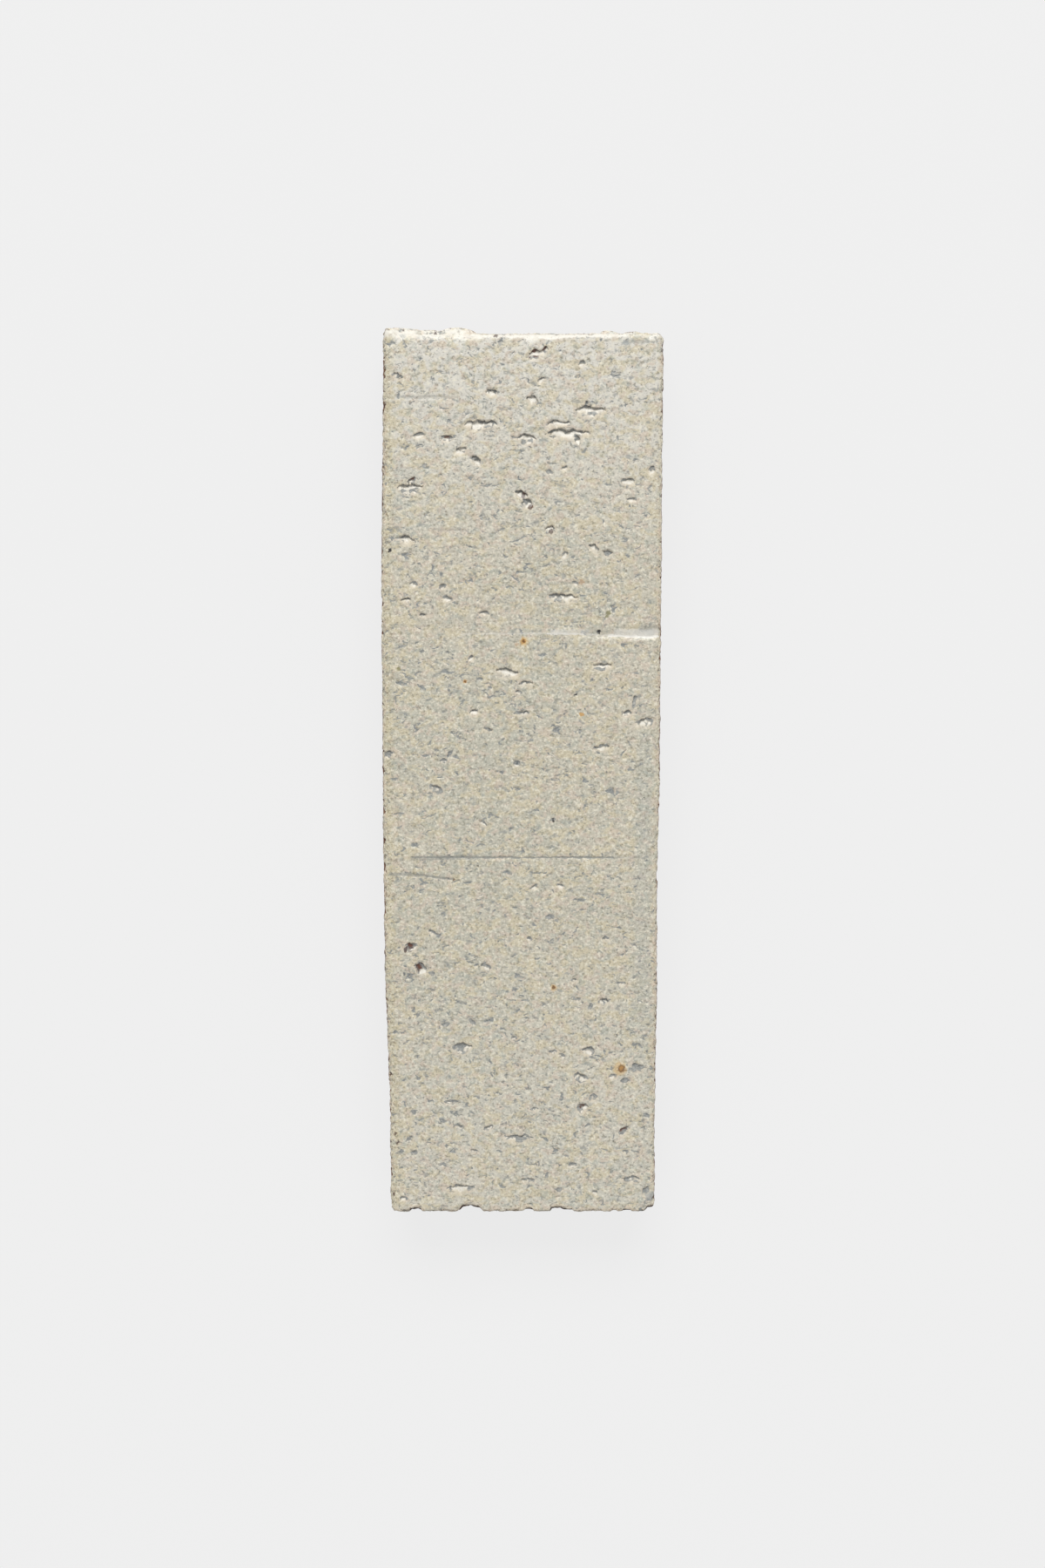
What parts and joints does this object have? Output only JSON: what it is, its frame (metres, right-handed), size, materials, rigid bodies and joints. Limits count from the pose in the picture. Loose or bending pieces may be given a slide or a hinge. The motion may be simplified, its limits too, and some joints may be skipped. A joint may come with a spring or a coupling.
{
  "type": "thin brick tile",
  "caption": "Flat rectangular brick slip with a torn, pitted, glazed face, rounded long edges, ragged wire-cut ends and dovetail keying grooves along its back.",
  "frame": {"origin": "middle of the back's resting plane, under the centre of the outer box", "axes": "+Z out of the glazed face, +Y along the length to the end with the drag burrs, +X to the right across the width"},
  "size_m": [0.064, 0.2045, 0.019],
  "materials": {
    "glazed_brick": "satin breaking glaze, cream to grey-green with tan, pink and blue-grey mottling, over red-brown fired clay"
  },
  "bodies": {
    "root": {"brick_tile": "glazed_brick"}
  },
  "joints": []
}
